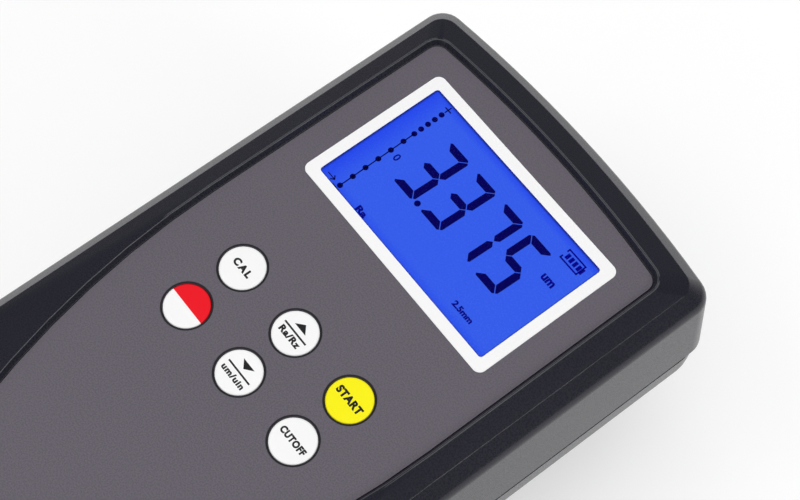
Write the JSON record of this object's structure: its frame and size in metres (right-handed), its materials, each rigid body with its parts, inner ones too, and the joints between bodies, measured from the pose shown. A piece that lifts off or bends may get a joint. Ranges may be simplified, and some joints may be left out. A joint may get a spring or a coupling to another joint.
{
  "type": "surface roughness tester",
  "caption": "Handheld surface roughness tester: black moulded case with a grey panel, blue display and round keys, and a stylus pickup drawn along under the base.",
  "frame": {"origin": "centre of the case's base plane", "axes": "+Y towards the display end, +Z out of the front panel, +X to the right of someone reading it"},
  "size_m": [0.057, 0.14, 0.048],
  "materials": {
    "case_black": "fine moulded texture",
    "panel_grey": "finely speckled matt print",
    "white_trim": "satin",
    "key_white": "satin",
    "key_yellow": "satin",
    "key_red": "satin, half red and half white",
    "clear_window": "clear",
    "lcd_blue": "lit blue display glass",
    "light_guide": "translucent",
    "zebra_rubber": "silicone",
    "board_green": "solder mask",
    "chip_black": "matt",
    "steel": "bright",
    "brass": "turned",
    "nylon": "moulded",
    "cell_can": "printed sleeve",
    "skid_black": "hard"
  },
  "bodies": {
    "case": {"front_shell": "case_black", "rear_shell": "case_black", "overlay": "panel_grey", "window_frame": "white_trim", "window_pane": "clear_window", "lcd_panel": "lcd_blue", "backlight": "light_guide", "zebra_strips": "zebra_rubber", "main_board": "board_green", "key_switches": "steel", "processor_chip": "chip_black", "board_screws": "steel", "case_screws": "steel", "battery_cells": "cell_can", "cell_springs": "steel", "cell_plates": "steel", "drive_chassis": "steel", "chassis_screws": "steel", "guide_rods": "steel", "drive_motor": "steel", "motor_screws": "steel", "screw_bushes": "brass", "pickup_bush": "brass"},
    "door": {"battery_door": "case_black"},
    "screw": {"lead_screw": "steel", "screw_gear": "nylon"},
    "pinion": {"motor_pinion": "brass"},
    "pickup": {"carriage": "nylon", "lead_nut": "brass", "pickup_tube": "steel", "pickup_nose": "skid_black", "stylus_pin": "steel"},
    "stylus": {"stylus_arm": "steel", "stylus_tip": "steel"},
    "power_key_body": {"power_key": "key_red"},
    "cal_key_body": {"cal_key": "key_white"},
    "up_key_body": {"up_key": "key_white"},
    "down_key_body": {"down_key": "key_white"},
    "start_key_body": {"start_key": "key_yellow"},
    "cutoff_key_body": {"cutoff_key": "key_white"}
  },
  "joints": [
    {"name": "power_key_press", "type": "slide", "parent": "case", "child": "power_key_body", "axis": [0, 0, -1], "range_m": [0, 0.0004], "stiffness_N_per_m": 400},
    {"name": "cal_key_press", "type": "slide", "parent": "case", "child": "cal_key_body", "axis": [0, 0, -1], "range_m": [0, 0.0004], "stiffness_N_per_m": 400},
    {"name": "up_key_press", "type": "slide", "parent": "case", "child": "up_key_body", "axis": [0, 0, -1], "range_m": [0, 0.0004], "stiffness_N_per_m": 400},
    {"name": "down_key_press", "type": "slide", "parent": "case", "child": "down_key_body", "axis": [0, 0, -1], "range_m": [0, 0.0004], "stiffness_N_per_m": 400},
    {"name": "start_key_press", "type": "slide", "parent": "case", "child": "start_key_body", "axis": [0, 0, -1], "range_m": [0, 0.0004], "stiffness_N_per_m": 400},
    {"name": "cutoff_key_press", "type": "slide", "parent": "case", "child": "cutoff_key_body", "axis": [0, 0, -1], "range_m": [0, 0.0004], "stiffness_N_per_m": 400},
    {"name": "screw_spin", "type": "hinge", "parent": "case", "child": "screw", "pos_m": [0, -0.02, 0.0195], "axis": [0, 1, 0], "range_deg": [0, 3151]},
    {"name": "pickup_traverse", "type": "slide", "parent": "case", "child": "pickup", "axis": [0, 1, 0], "range_m": [0, 0.0175]},
    {"name": "pinion_spin", "type": "hinge", "parent": "case", "child": "pinion", "pos_m": [0, -0.02, 0.0291], "axis": [0, 1, 0], "range_deg": [-9453, 0]},
    {"name": "stylus_rock", "type": "hinge", "parent": "pickup", "child": "stylus", "pos_m": [0, -0.054, 0.007], "axis": [1, 0, 0], "range_deg": [-1.5, 1], "stiffness_Nm_per_rad": 0.003},
    {"name": "door_slide", "type": "slide", "parent": "case", "child": "door", "axis": [0, 1, 0], "range_m": [0, 0.05]}
  ],
  "couplings": [
    {"joint": "screw_spin", "follows": "pickup_traverse", "rad_per_m": 3141.6},
    {"joint": "pinion_spin", "follows": "pickup_traverse", "rad_per_m": -9424.8}
  ]
}
